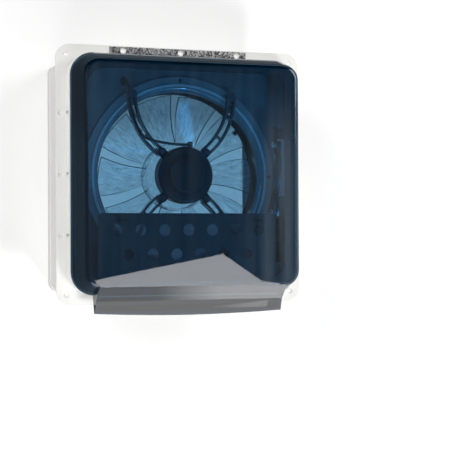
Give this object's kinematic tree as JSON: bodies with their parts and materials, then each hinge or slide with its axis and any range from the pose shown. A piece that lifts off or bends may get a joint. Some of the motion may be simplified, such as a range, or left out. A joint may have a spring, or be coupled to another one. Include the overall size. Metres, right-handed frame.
{
  "type": "caravan roof vent",
  "caption": "Square caravan roof vent with a smoke-tinted hinged lid, a stepped tail, a bladed fan on a twin-rail spider and a geared lift arm",
  "frame": {"origin": "centre of the roof hole, on the underside of the roof flange, which is the roof skin", "axes": "+Z out of the roof, +Y to the hinge side, +X to the side of the lift arm"},
  "size_m": [0.436, 0.4538, 0.226],
  "materials": {
    "white_plastic": "satin white ABS",
    "dark_grey_plastic": "satin dark grey",
    "black_plastic": "satin black",
    "smoke_lid": "clear smoke tint, glossy",
    "smoke_blades": "clear smoke tint",
    "pale_plastic": "matte pale grey",
    "dark_screws": "blackened steel",
    "steel": "zinc plated",
    "rubber": "soft black",
    "cable_jacket": "black sheath",
    "gear_nylon": "natural nylon",
    "board_green": "solder mask",
    "fuse_glass": "clear",
    "mesh_dark": "woven dark yarn",
    "window_red": "dark red, clear"
  },
  "bodies": {
    "roof": {"roof_flange": "white_plastic", "fan_housing": "white_plastic", "side_screws": "dark_screws", "fan_deck": "dark_grey_plastic", "deck_screws": "dark_screws", "fan_ring": "dark_grey_plastic", "ring_screws": "dark_screws", "motor_spider": "dark_grey_plastic", "spider_screws": "dark_screws", "motor_housing": "black_plastic", "motor_cap": "black_plastic", "motor_bearing": "steel", "motor_grommets": "rubber", "motor_screws": "dark_screws", "fan_cable": "cable_jacket", "motor_gland": "rubber", "cable_clips": "black_plastic", "cable_grommet": "rubber", "lid_seal": "rubber", "hinge_brackets": "steel", "hinge_pins": "steel", "lift_bracket": "steel", "arm_pivot_pin": "steel", "lift_gearbox": "black_plastic", "gearbox_screws": "dark_screws", "bracket_screws": "dark_screws", "lift_motor": "black_plastic", "control_cover": "pale_plastic", "circuit_board": "board_green", "fuse_holder": "black_plastic", "glass_fuse": "fuse_glass", "screen_frame": "white_plastic", "screen_screws": "dark_screws", "insect_mesh": "mesh_dark", "signal_window": "window_red", "air_sensor": "black_plastic"},
    "fan": {"fan_rotor": "smoke_blades", "motor_shaft": "steel", "hub_nut": "steel"},
    "lid": {"lid_shell": "smoke_lid", "tail_liner": "white_plastic", "lid_frame": "dark_grey_plastic", "baffle_plate": "black_plastic", "baffle_posts": "dark_grey_plastic", "baffle_screws": "dark_screws", "hinge_leaves": "steel", "leaf_screws": "dark_screws", "cam_track": "black_plastic", "track_screws": "dark_screws"},
    "arm": {"lift_arm": "black_plastic", "guide_pin": "steel"},
    "pinion": {"drive_pinion": "gear_nylon"}
  },
  "joints": [
    {"name": "fan_spin", "type": "hinge", "parent": "roof", "child": "fan", "pos_m": [0, 0, 0], "axis": [0, 0, 1], "continuous": true},
    {"name": "lid_open", "type": "hinge", "parent": "roof", "child": "lid", "pos_m": [0, 0.1915, 0.038], "axis": [-1, 0, 0], "range_deg": [0, 20]},
    {"name": "arm_lift", "type": "hinge", "parent": "roof", "child": "arm", "pos_m": [0.163, -0.062, 0.02], "axis": [1, 0, 0], "range_deg": [0, 50]},
    {"name": "pinion_turn", "type": "hinge", "parent": "roof", "child": "pinion", "pos_m": [0.163, -0.08479, 0.00937], "axis": [-1, 0, 0], "range_deg": [0, 116.67]}
  ],
  "couplings": [
    {"joint": "arm_lift", "follows": "lid_open", "ratio": 2.5},
    {"joint": "pinion_turn", "follows": "lid_open", "ratio": 5.8333}
  ]
}
